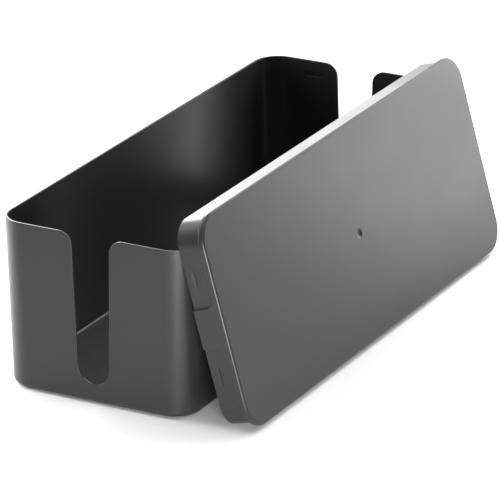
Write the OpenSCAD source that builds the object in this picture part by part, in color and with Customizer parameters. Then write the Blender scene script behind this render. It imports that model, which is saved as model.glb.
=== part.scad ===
// Cable box for a desk or floor: an open-topped tray that holds a power strip, with a cable slot
// down each end wall, and a shallow lid that closes it. The lid is off, and leans on the tray's
// long side. X runs along the box, Z is up, and the origin is the centre of the tray's underside.

/* [Tray] */
// Length over the rim
box_length = 407; // [380:1:440]
// Width over the rim
box_width = 157; // [145:1:170]
// Height of the rim above the underside
rim_height = 127; // [115:1:140]
// Radius of the upright corners, at the rim
corner_radius = 21; // [18:0.5:26]
// Thickness of the walls
wall = 2; // [1.8:0.1:2.1]
// Thickness of the floor
floor_thickness = 2.6; // [2.4:0.1:4]
// How much narrower the underside is than the rim, on each long side
side_draft = 2.8; // [1:0.1:3]
// How much shorter the underside is than the rim, at each end
end_draft = 0.6; // [0.2:0.1:2]
// Radius of the edge round the underside
bottom_edge_radius = 4; // [3:0.5:6]
// Radius between the walls and the floor, inside
inside_edge_radius = 2; // [1:0.5:3]

/* [Cable slots] */
// Width of each slot at the rim
slot_top_width = 31; // [28:0.5:36]
// Width of each slot where its round end starts
slot_low_width = 25.5; // [20:0.5:27]
// Height of the slot's lowest point above the underside
slot_bottom = 14.3; // [10:0.1:30]
// Radius of the rim's corners on both sides of the slot
slot_mouth_radius = 10.4; // [9:0.2:12]

/* [Lid] */
// Height of the band that stays above the rim when the lid is on
band_height = 4.5; // [4:0.1:6]
// Depth of the whole lid
lid_depth = 22.7; // [20:0.1:26]
// Thickness of the lid's top
lid_top_thickness = 2.3; // [2.2:0.1:3]
// How far the lid's skirt is set in from the band, to go inside the tray
skirt_step = 2.6; // [2.6:0.1:3]
// Thickness of the skirt
skirt_thickness = 1.6; // [1.5:0.1:2.4]
// Radius of the edge round the lid's top
lid_edge_radius = 1.9; // [1:0.1:2]
// Gap between a tab and the slot that it closes, on each side
tab_gap = 0.3; // [0.2:0.1:1]
// How much shorter a tab is than the skirt
tab_shorter = 0.3; // [0.2:0.1:1]
// Radius where a tab meets the band
tab_root_radius = 6.8; // [5:0.2:8]
// Diameter of the round dimple in the middle of the lid
dimple_diameter = 7.4; // [5:0.1:9]
// Depth of that dimple
dimple_depth = 1.3; // [0.8:0.1:1.5]

/* [Snaps] */
// Distance from the lid's middle to the middle of each snap bead
snap_place = 35.8; // [33:0.1:40]
// Length of each bead
bead_length = 13.6; // [10:0.1:15]
// How far a bead stands out of the skirt
bead_height = 0.9; // [0.8:0.05:1]
// Depth of a bead's crest below the band
bead_depth = 10.9; // [10.5:0.1:11.2]
// Length of each groove
groove_length = 15; // [14:0.1:16]
// Depth that a groove is cut into the wall
groove_cut = 0.8; // [0.6:0.1:1]
// Top of each groove, below the rim
groove_top = 9.7; // [9.4:0.1:9.9]
// Height of each groove
groove_height = 3.2; // [3:0.1:4]

/* [Feet] */
// Diameter of each rubber foot
foot_diameter = 12; // [8:0.5:14]
// How far a foot stands below the underside
foot_proud = 1.2; // [1:0.1:1.4]
// Depth of the pocket that a foot sits in
foot_pocket = 0.8; // [0.5:0.1:1]
// Distance from the rim's end to the middle of a foot
foot_from_end = 32; // [30:1:60]
// Distance from the rim's side to the middle of a foot
foot_from_side = 28; // [26:1:45]

/* [Leaning lid] */
// Angle of the lid's top to the surface that the box stands on
lean_angle = 74.6; // [72:0.1:80]
// Gap left between the lid and the tray where they would touch
lean_gap = 0.5; // [0.5:0.1:1]

/* [Hidden] */
round_sides = 48;
edge_sides = 24;
fine_sides = 64;
sliver = 0.01;
lap = 1;
past = 5;
plastic = [0.21, 0.21, 0.215];
rubber = [0.08, 0.08, 0.08];
slot_low_radius = slot_low_width / 2;
slot_low_centre = slot_bottom + slot_low_radius;
slot_slope = (slot_top_width / 2 - slot_low_radius) / (rim_height - slot_low_centre);
tab_depth = lid_depth - tab_shorter;
tab_drop = tab_depth - band_height;
skirt_length = box_length - 2 * skirt_step;
skirt_width = box_width - 2 * skirt_step;
skirt_radius = corner_radius - skirt_step;
bead_back = 0.4;
bead_ramp = 2.4;
groove_end_x = box_length / 2 - wall - end_draft * groove_top / rim_height;
dimple_sphere = (pow(dimple_diameter / 2, 2) + pow(dimple_depth, 2)) / (2 * dimple_depth);
foot_gap = 0.3;
foot_edge = 0.4;
foot_x = box_length / 2 - foot_from_end;
foot_y = box_width / 2 - foot_from_side;

// The lid's lower edge is on the same surface as the feet, and the ends of its skirt meet the
// rounded corners of the rim, so the rim goes a little way into the lid.
skirt_inside_x = skirt_length / 2 - skirt_thickness;
corner_reach = skirt_inside_x - (box_length / 2 - corner_radius);
rim_in_lid = corner_radius - sqrt(pow(corner_radius, 2) - pow(corner_reach, 2));
lid_z = skirt_width / 2 * sin(lean_angle) + lid_depth * cos(lean_angle) - foot_proud;
rim_up_lid = (rim_height - lid_z + lid_depth * cos(lean_angle)) / sin(lean_angle);
lid_y = rim_in_lid - box_width / 2 - lean_gap
    - lid_depth * sin(lean_angle) - rim_up_lid * cos(lean_angle);

// Half the width of a slot's straight part, at a height above the underside
function slot_half(height) = slot_low_radius + slot_slope * (height - slot_low_centre);

// Half the width of a tab, which tapers with the slot, at a distance below the band
function tab_half(drop) = slot_half(rim_height - drop) - tab_gap;

// Drafted block with round upright corners and a round edge at its foot
module tub_block(length, width, corner, height, low, edge)
    hull()
        for (x = [-1, 1], y = [-1, 1]) {
            translate([x * (length / 2 - corner), y * (width / 2 - corner), height - sliver])
                cylinder(r = corner, h = sliver, $fn = round_sides);
            translate([x * (length / 2 - end_draft - corner), y * (width / 2 - side_draft - corner),
                    low + edge])
                rotate_extrude($fn = round_sides)
                    translate([corner - edge, 0])
                        circle(r = edge, $fn = edge_sides);
        }

// Flat outline with round corners
module round_outline(length, width, corner) {
    square([length - 2 * corner, width], center = true);
    square([length, width - 2 * corner], center = true);
    for (x = [-1, 1], y = [-1, 1])
        translate([x * (length / 2 - corner), y * (width / 2 - corner)])
            circle(r = corner, $fn = round_sides);
}

// Outline of a slot: a round lower end, sides that open upwards, and a flared mouth at the rim
module slot_outline() {
    translate([0, slot_low_centre]) circle(r = slot_low_radius, $fn = fine_sides);
    polygon([
        [-slot_low_radius, slot_low_centre],
        [slot_low_radius, slot_low_centre],
        [slot_half(rim_height + past), rim_height + past],
        [-slot_half(rim_height + past), rim_height + past]
    ]);
    for (side = [0, 1])
        mirror([side, 0])
            translate([slot_half(rim_height - slot_mouth_radius), rim_height - slot_mouth_radius])
                outside_corner(slot_mouth_radius, past);
}

// The space between a round corner and the square corner that it softens. The upright side of that
// square is at zero, and the space laps a little over what is before it, and by the margin over
// what is above it.
module outside_corner(radius, margin)
    difference() {
        translate([-lap, 0]) square([radius + lap, radius + margin]);
        translate([radius, 0]) circle(r = radius, $fn = fine_sides);
    }

// Turns an outline in the YZ plane into a solid that runs along X
module along_x(length)
    rotate([90, 0, 90]) linear_extrude(length, center = true) children();

// Grooves inside both end walls, that the lid's beads snap into
module groove_cuts()
    for (x = [-1, 1], y = [-1, 1])
        translate([x * groove_end_x, y * snap_place, rim_height - groove_top - groove_height / 2])
            cube([2 * groove_cut, groove_length, groove_height], center = true);

// Round pockets in the underside for the feet
module foot_pockets()
    for (x = [-1, 1], y = [-1, 1])
        translate([x * foot_x, y * foot_y, -sliver])
            cylinder(d = foot_diameter + 2 * foot_gap, h = foot_pocket + sliver, $fn = fine_sides);

// The tray: an open shell with a slot in each end, snap grooves and foot pockets
module base()
    color(plastic)
        difference() {
            tub_block(box_length, box_width, corner_radius, rim_height, 0, bottom_edge_radius);
            translate([0, 0, sliver])
                tub_block(box_length - 2 * wall, box_width - 2 * wall, corner_radius - wall,
                    rim_height, floor_thickness - sliver, inside_edge_radius);
            along_x(box_length + 2 * past) slot_outline();
            groove_cuts();
            foot_pockets();
        }

// Everything below is in the lid's own frame: the top face is at zero and the skirt hangs below it.

// Round-edged plate with the band that closes onto the rim
module lid_cap()
    hull()
        for (x = [-1, 1], y = [-1, 1])
            translate([x * (box_length / 2 - corner_radius), y * (box_width / 2 - corner_radius), 0]) {
                translate([0, 0, -band_height]) cylinder(r = corner_radius, h = sliver, $fn = round_sides);
                translate([0, 0, -lid_edge_radius])
                    rotate_extrude($fn = round_sides)
                        translate([corner_radius - lid_edge_radius, 0])
                            circle(r = lid_edge_radius, $fn = edge_sides);
            }

// Outline of one tab, with the curves that blend it into the band
module tab_outline() {
    polygon([
        [-tab_half(tab_drop), -tab_depth],
        [tab_half(tab_drop), -tab_depth],
        [tab_half(-sliver), sliver - band_height],
        [-tab_half(-sliver), sliver - band_height]
    ]);
    for (side = [0, 1])
        mirror([side, 0])
            translate([tab_half(tab_root_radius), -band_height - tab_root_radius])
                outside_corner(tab_root_radius, sliver);
}

// Tabs at both ends, flush with the band, that close the tops of the slots
module lid_tabs()
    for (x = [-1, 1])
        translate([x * (box_length - skirt_step - skirt_thickness) / 2, 0, 0])
            along_x(skirt_step + skirt_thickness) tab_outline();

// Wedge along the end of the skirt: a long slope to push it in, and a steep back to hold it
module snap_bead()
    rotate([90, 0, 0])
        linear_extrude(bead_length, center = true)
            polygon([
                [-skirt_thickness / 2, -bead_depth + bead_back],
                [0, -bead_depth + bead_back],
                [bead_height, -bead_depth],
                [0, -bead_depth - bead_ramp],
                [-skirt_thickness / 2, -bead_depth - bead_ramp]
            ]);

// Two beads on each end of the skirt
module lid_beads()
    for (end = [0, 1], y = [-1, 1])
        mirror([end, 0, 0])
            translate([skirt_length / 2, y * snap_place, -band_height]) snap_bead();

// The lid without its tabs and beads: cap, hollow skirt and dimple
module lid_shell()
    difference() {
        union() {
            lid_cap();
            translate([0, 0, -lid_depth])
                linear_extrude(lid_depth - band_height + sliver)
                    round_outline(skirt_length, skirt_width, skirt_radius);
        }
        translate([0, 0, -lid_depth - past])
            linear_extrude(lid_depth + past - lid_top_thickness)
                round_outline(skirt_length - 2 * skirt_thickness, skirt_width - 2 * skirt_thickness,
                    skirt_radius - skirt_thickness);
        translate([0, 0, dimple_sphere - dimple_depth]) sphere(r = dimple_sphere, $fn = fine_sides);
    }

// The whole lid in its leaning place
module lid()
    color(plastic)
        translate([0, lid_y, lid_z]) rotate([lean_angle, 0, 0]) {
            lid_shell();
            lid_tabs();
            lid_beads();
        }

// Round rubber foot with a softened lower edge; side and end are -1 or 1
module foot(end, side)
    color(rubber)
        translate([end * foot_x, side * foot_y, -foot_proud])
            rotate_extrude($fn = fine_sides)
                polygon([
                    [0, 0],
                    [foot_diameter / 2 - foot_edge, 0],
                    [foot_diameter / 2, foot_edge],
                    [foot_diameter / 2, foot_proud + foot_pocket],
                    [0, foot_proud + foot_pocket]
                ]);

base();
lid();
foot(-1, -1);  // foot_front_left
foot(1, -1);  // foot_front_right
foot(-1, 1);  // foot_rear_left
foot(1, 1);  // foot_rear_right
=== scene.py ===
"""The looks of the cable box: a tray with a slot in each end, a lid that leans on its side, and four feet.

Lengths are in metres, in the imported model's own frame: X along the box, Z up, the lid on the -Y side.
"""

import math
from collections import namedtuple

import bmesh
import bpy
from mathutils import Matrix, Vector


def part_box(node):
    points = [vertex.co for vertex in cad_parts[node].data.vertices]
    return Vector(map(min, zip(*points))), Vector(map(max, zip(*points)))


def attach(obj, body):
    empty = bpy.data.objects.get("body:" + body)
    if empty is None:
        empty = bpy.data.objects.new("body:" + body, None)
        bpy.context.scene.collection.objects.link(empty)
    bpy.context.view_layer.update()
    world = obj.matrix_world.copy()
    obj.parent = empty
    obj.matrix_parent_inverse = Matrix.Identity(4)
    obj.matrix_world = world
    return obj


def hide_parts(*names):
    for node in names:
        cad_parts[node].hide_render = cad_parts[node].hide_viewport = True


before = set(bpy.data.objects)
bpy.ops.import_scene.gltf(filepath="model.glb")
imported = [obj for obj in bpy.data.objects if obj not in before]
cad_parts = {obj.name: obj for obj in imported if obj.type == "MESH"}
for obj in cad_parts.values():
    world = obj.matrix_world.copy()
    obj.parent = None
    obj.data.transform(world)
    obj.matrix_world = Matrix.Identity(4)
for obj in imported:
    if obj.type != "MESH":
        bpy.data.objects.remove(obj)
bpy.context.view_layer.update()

MM = 0.001
UP = Vector((0, 0, 1))

# Sizes of the tray that its box doesn't give
CORNER_RADIUS = 21 * MM
WALL = 2 * MM
FLOOR_THICKNESS = 2.6 * MM
SIDE_DRAFT = 2.8 * MM
END_DRAFT = 0.6 * MM
BOTTOM_RADIUS = 4 * MM
INSIDE_RADIUS = 2 * MM
RIM_ROUND = 0.6 * MM

# Slots in the ends
SLOT_TOP_WIDTH = 31 * MM
SLOT_LOW_RADIUS = 12.75 * MM
SLOT_BOTTOM = 14.3 * MM
SLOT_MOUTH_RADIUS = 10.4 * MM

# Lid, in its own frame: the top face is at zero and the skirt hangs below it
LEAN = math.radians(74.6)
BAND_HEIGHT = 4.5 * MM
LID_DEPTH = 22.7 * MM
LID_TOP_THICKNESS = 2.3 * MM
LID_EDGE_RADIUS = 1.9 * MM
BAND_ROUND = 0.7 * MM
SKIRT_STEP = 2.6 * MM
STEP_FILLET = 0.6 * MM
SKIRT_THICKNESS = 1.6 * MM
SKIRT_ROUND = 0.2 * MM
LID_INSIDE_RADIUS = 1 * MM
TAB_GAP = 0.3 * MM
TAB_SHORTER = 0.3 * MM
TAB_ROOT_RADIUS = 6.8 * MM
TAB_CORNER_RADIUS = 1 * MM
DIMPLE_RADIUS = 3.7 * MM
DIMPLE_DEPTH = 1.3 * MM
DIMPLE_ROUND = 0.35 * MM

# Snap beads on the lid, and the grooves in the tray that they click into
SNAP_PLACE = 35.8 * MM
BEAD_LENGTH = 13.6 * MM
BEAD_HEIGHT = 0.9 * MM
BEAD_DEPTH = 10.9 * MM
BEAD_BACK = 0.4 * MM
BEAD_RAMP = 2.4 * MM
BEAD_TAPER = 2.4 * MM
GROOVE_LENGTH = 15 * MM
GROOVE_HEIGHT = 3.2 * MM
GROOVE_TOP = 9.7 * MM
GROOVE_CUT = 0.8 * MM
GROOVE_ROUND = 0.2 * MM
GROOVE_CORNER = 0.6 * MM

# Feet
FOOT_GAP = 0.3 * MM
FOOT_POCKET = 0.8 * MM
POCKET_ROUND = 0.15 * MM
FOOT_ROUND = 0.4 * MM
GRIP_RINGS = 2
GRIP_WIDTH = 1 * MM
GRIP_DEPTH = 0.2 * MM

# Materials: colours and the change of tone about them, roughness, and the size, fineness and depth of
# the grain. A noise's seed sets it apart from the others.
PLASTIC = (0.021, 0.021, 0.022)
PLASTIC_TONES = (0.9, 1.1)
PLASTIC_ROUGHNESS = (0.28, 0.32)
PLASTIC_SPECULAR = 0.35
PLASTIC_GRAIN = 0.45 * MM
PLASTIC_GRAIN_DETAIL = 3
PLASTIC_GRAIN_SEED = 0
PLASTIC_GRAIN_DEPTH = 0.006 * MM
PLASTIC_FLOW = 30 * MM
PLASTIC_FLOW_DETAIL = 1
PLASTIC_FLOW_SEED = 2
PLASTIC_WAVE = 0.006 * MM
RUBBER = (0.02, 0.02, 0.02)
RUBBER_TONES = (0.8, 1.3)
RUBBER_ROUGHNESS = (0.65, 0.8)
RUBBER_GRAIN = 0.8 * MM
RUBBER_GRAIN_DETAIL = 4
RUBBER_GRAIN_SEED = 5
RUBBER_GRAIN_DEPTH = 0.03 * MM
FLOOR_PAINT = (0.9, 0.9, 0.9)
FLOOR_TONES = (0.99, 1)
FLOOR_ROUGHNESS = 0.6
FLOOR_GRAIN = 40 * MM
FLOOR_GRAIN_DETAIL = 3
FLOOR_GRAIN_SEED = 8
# The part of a noise's range that most of it lies in
NOISE_SPAN = (0.3, 0.7)

# How finely curves are divided
CORNER_STEPS = 20
EDGE_STEPS = 4
FILLET_STEPS = 6
SLOT_STEPS = 16
MOUTH_STEPS = 10
CIRCLE_STEPS = 48
MERGE = 0.001 * MM
SHARP_ANGLE = math.radians(32)

tray_low, tray_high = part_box("base")
lid_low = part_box("lid")[0]
LENGTH = tray_high.x - tray_low.x
WIDTH = tray_high.y - tray_low.y
RIM = tray_high.z
FLOOR_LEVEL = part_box("foot_front_left")[0].z

# A point on an edge: its place where the edge would be sharp, the surface's outward normal there, and
# the direction along the surface that leaves the material.
Edge = namedtuple("Edge", "point normal away")


# ---------------------------------------------------------------- mesh tools

def arc(steps, start=0.0, end=math.pi / 2):
    """Evenly spaced angles from start to end."""
    return [start + (end - start) * step / steps for step in range(steps + 1)]


def turns():
    """Evenly spaced angles, once round a circle."""
    return [2 * math.pi * step / CIRCLE_STEPS for step in range(CIRCLE_STEPS)]


def circle(centre, radius, height):
    """A row of points round a circle, at a height above its centre."""
    return [centre + Vector((radius * math.cos(turn), radius * math.sin(turn), height)) for turn in turns()]


def quads(bm, rows, gaps=()):
    """Joins closed loops of points with quads, and leaves out the columns named in gaps."""
    made = [[bm.verts.new(point) for point in row] for row in rows]
    count = len(made[0])
    for upper, lower in zip(made, made[1:]):
        for here in range(count):
            there = (here + 1) % count
            if here not in gaps:
                bm.faces.new((upper[here], upper[there], lower[there], lower[here]))


def fill(bm, outline, holes=()):
    """Fills the flat region inside an outline and outside its holes."""
    edges = []
    for loop in (outline, *holes):
        corners = [bm.verts.new(point) for point in loop]
        edges += [bm.edges.new(pair) for pair in zip(corners, corners[1:] + corners[:1])]
    bmesh.ops.triangle_fill(bm, use_beauty=True, edges=edges)


def round_over(path, radius, depth, far_radius=0.0):
    """Rows of points over a rounded edge: off the surface, across the thickness, and round its far edge."""
    rows = []
    for angle in arc(EDGE_STEPS):
        inwards, back = radius * (1 - math.cos(angle)), radius * (1 - math.sin(angle))
        rows.append([edge.point - edge.away * back - edge.normal * inwards for edge in path])
    if not far_radius:
        rows.append([edge.point - edge.normal * depth for edge in path])
        return rows
    for angle in arc(EDGE_STEPS, math.pi / 2, 0):
        inwards, back = far_radius * (1 - math.cos(angle)), far_radius * (1 - math.sin(angle))
        rows.append([edge.point - edge.away * back - edge.normal * (depth - inwards) for edge in path])
    return rows


def step_down(path, radius, depth, fillet):
    """Rows of points over a rounded edge, down a step, and round the hollow corner at its foot."""
    rows = round_over(path, radius, depth)[:-1]
    for angle in arc(EDGE_STEPS):
        row = []
        for edge in path:
            hollow = fillet(edge)
            outwards, up = hollow * (1 - math.cos(angle)), hollow * (1 - math.sin(angle))
            row.append(edge.point + edge.away * outwards - edge.normal * (depth - up))
        rows.append(row)
    return rows


def sunk_shape(bm, path, radius, depth):
    """Makes the sides and the flat bottom of a recess, and returns the loop where it meets the surface."""
    rows = round_over(path, radius, depth)
    quads(bm, rows)
    fill(bm, rows[-1])
    return rows[0]


def corners_round(length, width, radius, height, away):
    """Edges round a rectangle with round corners, corner by corner, anticlockwise from +X."""
    path = []
    for turn, (side_x, side_y) in enumerate(((1, 1), (-1, 1), (-1, -1), (1, -1))):
        centre = Vector((side_x * (length / 2 - radius), side_y * (width / 2 - radius), height))
        for angle in arc(CORNER_STEPS, turn * math.pi / 2, (turn + 1) * math.pi / 2):
            normal = Vector((math.cos(angle), math.sin(angle), 0))
            path.append(Edge(centre + radius * normal, normal, away(side_x, side_y)))
    return path


# The columns of a loop of corners that cross the -X end, after two corners, and the +X end, after four
CORNER_POINTS = CORNER_STEPS + 1
LEFT_GAP = 2 * CORNER_POINTS - 1
RIGHT_GAP = 4 * CORNER_POINTS - 1
ENDS = {-1: LEFT_GAP, 1: RIGHT_GAP}


def path_with_ends(corners, across):
    """Adds the edges that cross each end to a loop of corners."""
    return corners[:LEFT_GAP + 1] + across(-1) + corners[LEFT_GAP + 1:] + across(1)


def only_corners(row, added):
    """The points of a row at the corners, without the ones that cross the ends."""
    return row[:LEFT_GAP + 1] + row[LEFT_GAP + 1 + added:RIGHT_GAP + 1 + added]


def across_end(row, end, added):
    """The points of a row that cross one end, with the last corner point before and the first after."""
    start = ENDS[end] + (added if end > 0 else 0)
    return [row[index % len(row)] for index in range(start, start + added + 2)]


def end_panel(bm, edge_row, far_row, end, added, holes=()):
    """Fills the flat part of an end, between the row along its edge and a plain row of corners."""
    start = ENDS[end]
    far_side = [far_row[(start + 1) % len(far_row)], far_row[start]]
    fill(bm, across_end(edge_row, end, added) + far_side, holes)


def add_object(name, data):
    """Puts a mesh, a camera or a light in the scene."""
    item = bpy.data.objects.new(name, data)
    bpy.context.scene.collection.objects.link(item)
    return item


def add_mesh(name, bm, material):
    """Puts a built mesh in the scene, in one material."""
    mesh = bpy.data.meshes.new(name)
    bm.to_mesh(mesh)
    bm.free()
    mesh.materials.append(material)
    return add_object(name, mesh)


def make_piece(name, bm, material, body, node):
    """Turns a closed mesh into a smooth-shaded piece that stands for a CAD node."""
    bmesh.ops.remove_doubles(bm, verts=bm.verts, dist=MERGE)
    bmesh.ops.recalc_face_normals(bm, faces=bm.faces)
    piece = add_mesh(name, bm, material)
    piece.data.shade_smooth()
    piece.data.set_sharp_from_angle(angle=SHARP_ANGLE)
    shading = piece.modifiers.new("even_shading", "WEIGHTED_NORMAL")
    shading.keep_sharp = True
    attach(piece, body)
    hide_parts(node)
    return piece


# ---------------------------------------------------------------- tray

def slot_half(height):
    """Half the width of a slot's straight part, at a height above the underside."""
    low_centre = SLOT_BOTTOM + SLOT_LOW_RADIUS
    slope = (SLOT_TOP_WIDTH / 2 - SLOT_LOW_RADIUS) / (RIM - low_centre)
    return SLOT_LOW_RADIUS + slope * (height - low_centre)


def slot_outline():
    """(y, z) places and directions into the slot, down its +Y side from the rim and up the other."""
    mouth = Vector((slot_half(RIM - SLOT_MOUTH_RADIUS) + SLOT_MOUTH_RADIUS, RIM - SLOT_MOUTH_RADIUS))
    low = Vector((0, SLOT_BOTTOM + SLOT_LOW_RADIUS))
    half = []
    for angle in arc(MOUTH_STEPS, math.pi / 2, 0):
        away = Vector((-math.cos(angle), math.sin(angle)))
        half.append((mouth + SLOT_MOUTH_RADIUS * away, away))
    for angle in arc(SLOT_STEPS):
        away = Vector((-math.cos(angle), math.sin(angle)))
        half.append((low - SLOT_LOW_RADIUS * away, away))
    other = [(Vector((-place.x, place.y)), Vector((-away.x, away.y))) for place, away in half[-2::-1]]
    return half + other


def across_tray_end(end):
    """The edges along the rim of an end wall, and down and up round its slot."""
    slope = end * END_DRAFT / (RIM - BOTTOM_RADIUS)
    edges = []
    for place, away in slot_outline():
        point = Vector((end * LENGTH / 2 - slope * (RIM - place.y), place.x, place.y))
        edges.append(Edge(point, Vector((end, 0, 0)), Vector((slope * away.y, away.x, away.y))))
    return edges if end < 0 else edges[::-1]


def tray_wall_slope(side_x, side_y):
    """The way that a corner of the tray leans outwards, for each unit of height."""
    return Vector((side_x * END_DRAFT, side_y * SIDE_DRAFT, 0)) / (RIM - BOTTOM_RADIUS) + UP


def groove(bm, end, side):
    """A groove inside an end wall, for a snap bead. Returns the loop where it meets the wall."""
    slope = END_DRAFT / (RIM - BOTTOM_RADIUS)
    middle = RIM - GROOVE_TOP - GROOVE_HEIGHT / 2
    path = []
    for edge in corners_round(GROOVE_LENGTH, GROOVE_HEIGHT, GROOVE_CORNER, 0, lambda x, y: UP):
        height = middle + edge.point.y
        wall_x = LENGTH / 2 - WALL - slope * (RIM - height)
        point = Vector((end * wall_x, side * SNAP_PLACE + edge.point.x, height))
        into = Vector((end * slope * -edge.normal.y, -edge.normal.x, -edge.normal.y))
        path.append(Edge(point, Vector((-end, 0, 0)), into))
    return sunk_shape(bm, path, GROOVE_ROUND, GROOVE_CUT)


def foot_disc(node):
    """The centre of a foot, at the height of the underside, and its radius."""
    low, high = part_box(node)
    return Vector(((low.x + high.x) / 2, (low.y + high.y) / 2, 0)), (high.x - low.x) / 2


def foot_pocket(bm, node):
    """A round pocket in the underside for a foot. Returns the loop where it meets the underside."""
    centre, radius = foot_disc(node)
    path = []
    for turn in turns():
        outwards = Vector((math.cos(turn), math.sin(turn), 0))
        path.append(Edge(centre + (radius + FOOT_GAP) * outwards, -UP, -outwards))
    return sunk_shape(bm, path, POCKET_ROUND, FOOT_POCKET)


def tray_skin(bm, edge_row, corners, inset, low, radius, added, end_holes, low_holes):
    """The walls below one side of the rim, the round edge at their foot, and the flat they end in."""
    def wall_row(angle):
        """The points under the corners, some way round the edge at the foot."""
        inwards = inset + radius * (1 - math.cos(angle))
        down = UP * radius * math.sin(angle)
        return [edge.point - edge.away * (RIM - low - radius) - edge.normal * inwards - down
                for edge in corners]
    fillet = [wall_row(angle) for angle in arc(FILLET_STEPS)]
    quads(bm, [only_corners(edge_row, added), fillet[0]], gaps=(LEFT_GAP, RIGHT_GAP))
    for end in (-1, 1):
        end_panel(bm, edge_row, fillet[0], end, added, end_holes[end])
    quads(bm, fillet)
    fill(bm, fillet[-1], low_holes)


def make_tray(material, feet):
    """The tray: its rim, its outer and inner skins, the snap grooves and the foot pockets."""
    bm = bmesh.new()
    corners = corners_round(LENGTH, WIDTH, CORNER_RADIUS, RIM, tray_wall_slope)
    added = len(across_tray_end(1))
    rim = round_over(path_with_ends(corners, across_tray_end), RIM_ROUND, WALL, RIM_ROUND)
    quads(bm, rim)
    pockets = [foot_pocket(bm, node) for node in feet]
    grooves = {end: [groove(bm, end, side) for side in (-1, 1)] for end in (-1, 1)}
    tray_skin(bm, rim[0], corners, 0, 0, BOTTOM_RADIUS, added, {-1: (), 1: ()}, pockets)
    tray_skin(bm, rim[-1], corners, WALL, FLOOR_THICKNESS, INSIDE_RADIUS, added, grooves, ())
    return make_piece("tray_shell", bm, material, "tray", "base")


# ---------------------------------------------------------------- lid

def tab_half(drop):
    """Half the width of a tab, at a distance below the band."""
    return slot_half(RIM - drop) - TAB_GAP


def tab_outline():
    """(y, z) places and directions off the tab, from its +Y root round its free end to the other."""
    bottom = TAB_SHORTER - LID_DEPTH
    root = Vector((tab_half(TAB_ROOT_RADIUS) + TAB_ROOT_RADIUS, -BAND_HEIGHT - TAB_ROOT_RADIUS))
    corner = Vector((tab_half(LID_DEPTH - BAND_HEIGHT) - TAB_CORNER_RADIUS, bottom + TAB_CORNER_RADIUS))
    half = []
    for angle in arc(MOUTH_STEPS, math.pi / 2, 0):
        inwards = Vector((-math.cos(angle), math.sin(angle)))
        half.append((root + TAB_ROOT_RADIUS * inwards, -inwards))
    for angle in arc(EDGE_STEPS):
        away = Vector((math.cos(angle), -math.sin(angle)))
        half.append((corner + TAB_CORNER_RADIUS * away, away))
    other = [(Vector((-place.x, place.y)), Vector((-away.x, away.y))) for place, away in half[::-1]]
    return half + other


def across_lid_end(end):
    """The edges along the foot of the band at one end, and round its tab."""
    edges = []
    for place, away in tab_outline():
        point = Vector((end * LENGTH / 2, place.x, place.y))
        edges.append(Edge(point, Vector((end, 0, 0)), Vector((0, away.x, away.y))))
    return edges if end < 0 else edges[::-1]


def snap_bead(bm, end, side):
    """A ridge on the end of the skirt, steep towards the band. Returns the loop where it meets the skirt."""
    crest = Vector((end * (LENGTH / 2 - SKIRT_STEP), side * SNAP_PLACE, -BAND_HEIGHT - BEAD_DEPTH))
    tip = [(BEAD_LENGTH / 2 - BEAD_TAPER * (1 - math.cos(angle)), math.sin(angle))
           for angle in arc(EDGE_STEPS)]
    stations = tip + [(-along, share) for along, share in reversed(tip)]
    rows = []
    for angle in arc(EDGE_STEPS):
        spread, out = 1 - angle / (math.pi / 2), BEAD_HEIGHT * math.sin(angle)
        sides = [(BEAD_BACK, stations), (-BEAD_RAMP, stations[-2:0:-1])]
        rows.append([crest + Vector((end * out * share, along, width * spread * share))
                     for width, places in sides for along, share in places])
    quads(bm, rows)
    return rows[0]


def dimple(bm):
    """The round dimple in the middle of the lid's top. Returns the loop where it meets the top."""
    sphere = (DIMPLE_RADIUS ** 2 + DIMPLE_DEPTH ** 2) / (2 * DIMPLE_DEPTH)

    def cap(radius):
        """The height of the dimple's round bottom, at a distance from its middle."""
        return sphere - DIMPLE_DEPTH - math.sqrt(sphere ** 2 - radius ** 2)
    inner = DIMPLE_RADIUS - DIMPLE_ROUND
    profile = []
    for step in range(EDGE_STEPS + 1):
        along = step / EDGE_STEPS
        radius = DIMPLE_RADIUS + DIMPLE_ROUND * (1 - 2 * along)
        profile.append((radius, cap(inner) * along ** 2))
    for step in range(1, FILLET_STEPS):
        radius = inner * (1 - step / FILLET_STEPS)
        profile.append((radius, cap(radius)))
    rows = [circle(Vector((0, 0, 0)), radius, height) for radius, height in profile]
    quads(bm, rows)
    fill(bm, rows[-1])
    return rows[0]


def lid_place():
    """Turns the lid's own frame to the leaning lid's place, from the lid's box."""
    y = lid_low.y + (WIDTH / 2 - LID_EDGE_RADIUS) * math.cos(LEAN) + LID_EDGE_RADIUS * (1 - math.sin(LEAN))
    z = lid_low.z + (WIDTH / 2 - SKIRT_STEP) * math.sin(LEAN) + LID_DEPTH * math.cos(LEAN)
    return Matrix.Translation((0, y, z)) @ Matrix.Rotation(LEAN, 4, "X")


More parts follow.
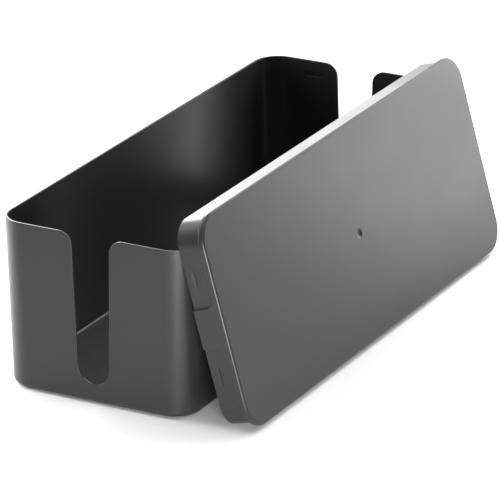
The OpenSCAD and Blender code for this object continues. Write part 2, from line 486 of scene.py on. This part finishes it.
def make_lid(material):
    """The lid: top, band, step, tabs, skirt and hollow, built flat and then leaned."""
    bm = bmesh.new()
    corners = corners_round(LENGTH, WIDTH, CORNER_RADIUS, -BAND_HEIGHT, lambda x, y: -UP)
    added = len(across_lid_end(1))
    gaps = (LEFT_GAP, RIGHT_GAP)

    top_edge = [[edge.point - edge.normal * LID_EDGE_RADIUS * (1 - math.sin(angle))
                 + UP * (BAND_HEIGHT - LID_EDGE_RADIUS * (1 - math.cos(angle))) for edge in corners]
                for angle in arc(FILLET_STEPS)]
    fill(bm, top_edge[0], [dimple(bm)])
    quads(bm, top_edge)

    def fillet(edge):
        """The radius of the hollow corner: less where a tab ends close to the skirt's foot."""
        return min(STEP_FILLET, (edge.point.z + LID_DEPTH - SKIRT_ROUND) / 2)
    step = step_down(path_with_ends(corners, across_lid_end), BAND_ROUND, SKIRT_STEP, fillet)
    quads(bm, [top_edge[-1], only_corners(step[0], added)], gaps)
    quads(bm, step)

    drop = UP * (LID_DEPTH - BAND_HEIGHT)
    skirt_foot = [Edge(edge.point - edge.normal * SKIRT_STEP - drop, edge.normal, -UP) for edge in corners]
    foot_rows = round_over(skirt_foot, SKIRT_ROUND, SKIRT_THICKNESS, SKIRT_ROUND)
    quads(bm, [only_corners(step[-1], added), foot_rows[0]], gaps)
    quads(bm, foot_rows)
    for end in (-1, 1):
        end_panel(bm, step[0], top_edge[-1], end, added)
        beads = [snap_bead(bm, end, side) for side in (-1, 1)]
        end_panel(bm, step[-1], foot_rows[0], end, added, beads)

    inset = SKIRT_STEP + SKIRT_THICKNESS
    ceiling = [[edge.point - edge.normal * (inset + LID_INSIDE_RADIUS * (1 - math.cos(angle)))
                + UP * (BAND_HEIGHT - LID_TOP_THICKNESS - LID_INSIDE_RADIUS * (1 - math.sin(angle)))
                for edge in corners] for angle in arc(FILLET_STEPS)]
    quads(bm, [foot_rows[-1], *ceiling])
    fill(bm, ceiling[-1])
    bm.transform(lid_place())
    return make_piece("lid_shell", bm, material, "lid", "lid")


# ---------------------------------------------------------------- feet

def make_foot(node, material):
    """A round rubber foot with a softened edge and two shallow grip rings."""
    centre, radius = foot_disc(node)
    low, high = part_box(node)
    profile = [(radius, high.z)]
    for angle in arc(EDGE_STEPS):
        inwards, up = FOOT_ROUND * (1 - math.cos(angle)), FOOT_ROUND * (1 - math.sin(angle))
        profile.append((radius - inwards, low.z + up))
    for ring in range(1, GRIP_RINGS + 1):
        middle = (radius - FOOT_ROUND) * (1 - ring / (GRIP_RINGS + 1))
        for angle in arc(EDGE_STEPS, 0, math.pi):
            outwards, up = GRIP_WIDTH / 2 * math.cos(angle), GRIP_DEPTH * math.sin(angle)
            profile.append((middle + outwards, low.z + up))
    rows = [circle(centre, ring, height) for ring, height in profile]
    bm = bmesh.new()
    quads(bm, rows)
    fill(bm, rows[0])
    fill(bm, rows[-1])
    return make_piece("pad_" + node, bm, material, "tray", node)


# ---------------------------------------------------------------- materials

class Surface:
    """A Principled material with its own object-space coordinates, and short ways to add detail."""

    def __init__(self, name, color):
        """Starts a material with a Principled shader. Its colour is set by shade()."""
        self.material = bpy.data.materials.new(name)
        self.material.use_nodes = True
        self.tree = self.material.node_tree
        self.shader = self.tree.nodes["Principled BSDF"]
        self.color = color
        self.place = self.tree.nodes.new("ShaderNodeTexCoord").outputs["Object"]

    def link(self, output, socket):
        """Joins one node's output to another's socket."""
        self.tree.links.new(output, socket)

    def noise(self, grain, detail, seed):
        """Noise whose features are about one grain across, in metres, with finer ones inside them."""
        node = self.tree.nodes.new("ShaderNodeTexNoise")
        node.noise_dimensions = "4D"
        node.inputs["W"].default_value = seed
        node.inputs["Scale"].default_value = 1 / grain
        node.inputs["Detail"].default_value = detail
        self.link(self.place, node.inputs["Vector"])
        return node.outputs["Fac"]

    def between(self, fac, low, high):
        """Stretches the middle of a noise to run from low to high."""
        node = self.tree.nodes.new("ShaderNodeMapRange")
        node.inputs["From Min"].default_value, node.inputs["From Max"].default_value = NOISE_SPAN
        node.inputs["To Min"].default_value = low
        node.inputs["To Max"].default_value = high
        self.link(fac, node.inputs["Value"])
        return node.outputs["Result"]

    def shade(self, fac, tones):
        """Varies the colour between two tones, as shares of the plain colour."""
        node = self.tree.nodes.new("ShaderNodeMix")
        node.data_type = "RGBA"
        for socket, tone in zip("AB", tones):
            node.inputs[socket].default_value = (*(tone * part for part in self.color), 1)
        self.link(self.between(fac, 0, 1), node.inputs["Factor"])
        self.link(node.outputs["Result"], self.shader.inputs["Base Color"])

    def gloss(self, fac, roughness):
        """Varies the roughness between two values."""
        self.link(self.between(fac, *roughness), self.shader.inputs["Roughness"])

    def bump(self, fac, depth, under=None):
        """Raises the surface by up to depth, in metres, on top of another bump."""
        node = self.tree.nodes.new("ShaderNodeBump")
        node.inputs["Distance"].default_value = depth
        self.link(fac, node.inputs["Height"])
        if under:
            self.link(under, node.inputs["Normal"])
        self.link(node.outputs["Normal"], self.shader.inputs["Normal"])
        return node.outputs["Normal"]


def box_plastic():
    """Dark grey moulded plastic: an even spark-eroded grain, and slow changes of gloss."""
    surface = Surface("box_plastic", PLASTIC)
    surface.shader.inputs["Specular IOR Level"].default_value = PLASTIC_SPECULAR
    grain = surface.noise(PLASTIC_GRAIN, PLASTIC_GRAIN_DETAIL, PLASTIC_GRAIN_SEED)
    flow = surface.noise(PLASTIC_FLOW, PLASTIC_FLOW_DETAIL, PLASTIC_FLOW_SEED)
    surface.shade(grain, PLASTIC_TONES)
    surface.gloss(flow, PLASTIC_ROUGHNESS)
    waves = surface.bump(flow, PLASTIC_WAVE)
    surface.bump(grain, PLASTIC_GRAIN_DEPTH, waves)
    return surface.material


def foot_rubber():
    """Matte black rubber with a soft mottle."""
    surface = Surface("foot_rubber", RUBBER)
    mottle = surface.noise(RUBBER_GRAIN, RUBBER_GRAIN_DETAIL, RUBBER_GRAIN_SEED)
    surface.shade(mottle, RUBBER_TONES)
    surface.gloss(mottle, RUBBER_ROUGHNESS)
    surface.bump(mottle, RUBBER_GRAIN_DEPTH)
    return surface.material


def floor_paint():
    """Pale matte studio floor."""
    surface = Surface("floor_paint", FLOOR_PAINT)
    mottle = surface.noise(FLOOR_GRAIN, FLOOR_GRAIN_DETAIL, FLOOR_GRAIN_SEED)
    surface.shade(mottle, FLOOR_TONES)
    surface.shader.inputs["Roughness"].default_value = FLOOR_ROUGHNESS
    return surface.material


# ---------------------------------------------------------------- studio

# The camera, as fitted to the edges of the box in the photograph. Angles are in degrees, and the lens and
# its sensor in millimetres.
CAMERA_AZIMUTH = -61.25
CAMERA_ELEVATION = 21.51
CAMERA_ROLL = -0.61
CAMERA_DISTANCE = 3.128
CAMERA_AIM = Vector((0.0207, -0.0048, 0.0391))
CAMERA_LENS = 300.5
SENSOR = 36
FLOOR_SIZE = 8

# Wide soft lights, all alike, stand in a half ring from the right of the box's front to its back
RING = (45, 90, 135, 180)
RING_ELEVATION = 35
WIDE_DISTANCE = 2.2
WIDE_SIZE = 1.4
WIDE_WATTS = 18
# The other lights: name, azimuth, elevation, distance, size and power. The rig is a fit to the photograph's
# tones, simplified to round values.
SOFTBOXES = (
    ("overhead", 0, 90, WIDE_DISTANCE, WIDE_SIZE, 14),
    ("high_left", -45, 60, WIDE_DISTANCE, WIDE_SIZE, 10),
    ("lid_skirt", 135, 3, WIDE_DISTANCE, WIDE_SIZE, 20),
    ("key", 60, 8, 0.6, 0.35, 1),
    ("key_high", 75, 20, 0.5, 0.3, 0.6),
    ("tray_corner", -60, 3, 0.75, 0.25, 5),
    ("left_edge", -150, 10, 0.45, 0.2, 1),
    ("lid_corner", 150, 25, 0.75, 0.45, 3),
    ("rear_left", -150, 25, 0.75, 0.45, 1.5),
)
LIT_POINT = Vector((0, -0.02, 0.06))


def direction(azimuth, elevation):
    """The way out from the box. Azimuth 0 is in front of the lid, and 90 degrees is beyond +X."""
    turn, rise = math.radians(azimuth), math.radians(elevation)
    return Vector((math.sin(turn) * math.cos(rise), -math.cos(turn) * math.cos(rise), math.sin(rise)))


def add_camera():
    """Looks at the box from the front left, a little above, through a long lens."""
    back = direction(CAMERA_AZIMUTH, CAMERA_ELEVATION)
    right = UP.cross(back).normalized()
    axes = Matrix((right, back.cross(right), back)).transposed().to_4x4()
    data = bpy.data.cameras.new("camera")
    data.lens = CAMERA_LENS
    data.sensor_width = SENSOR
    camera = add_object("camera", data)
    camera.matrix_world = (Matrix.Translation(CAMERA_AIM + CAMERA_DISTANCE * back) @ axes
                           @ Matrix.Rotation(math.radians(CAMERA_ROLL), 4, "Z"))
    bpy.context.scene.camera = camera


def softbox(name, azimuth, elevation, distance, size, watts):
    """A round soft light that faces the box."""
    out = direction(azimuth, elevation)
    data = bpy.data.lights.new(name, "AREA")
    data.shape = "DISK"
    data.size = size
    data.energy = watts
    light = add_object(name, data)
    light.matrix_world = (Matrix.Translation(LIT_POINT + distance * out)
                          @ out.to_track_quat("Z", "Y").to_matrix().to_4x4())
    light.visible_camera = False


def add_floor(material):
    """A plain square floor under the feet."""
    bm = bmesh.new()
    half = FLOOR_SIZE / 2
    corners = [(-half, -half), (half, -half), (half, half), (-half, half)]
    bm.faces.new([bm.verts.new((x, y, FLOOR_LEVEL)) for x, y in corners])
    add_mesh("floor", bm, material)


# ---------------------------------------------------------------- putting it together

add_camera()
add_floor(floor_paint())
for azimuth in RING:
    softbox(f"ring_{azimuth}", azimuth, RING_ELEVATION, WIDE_DISTANCE, WIDE_SIZE, WIDE_WATTS)
for light in SOFTBOXES:
    softbox(*light)
bpy.context.scene.view_settings.view_transform = "Standard"

FEET = sorted(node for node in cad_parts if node.startswith("foot_"))
plastic = box_plastic()
rubber = foot_rubber()
make_tray(plastic, FEET)
make_lid(plastic)
for node in FEET:
    make_foot(node, rubber)
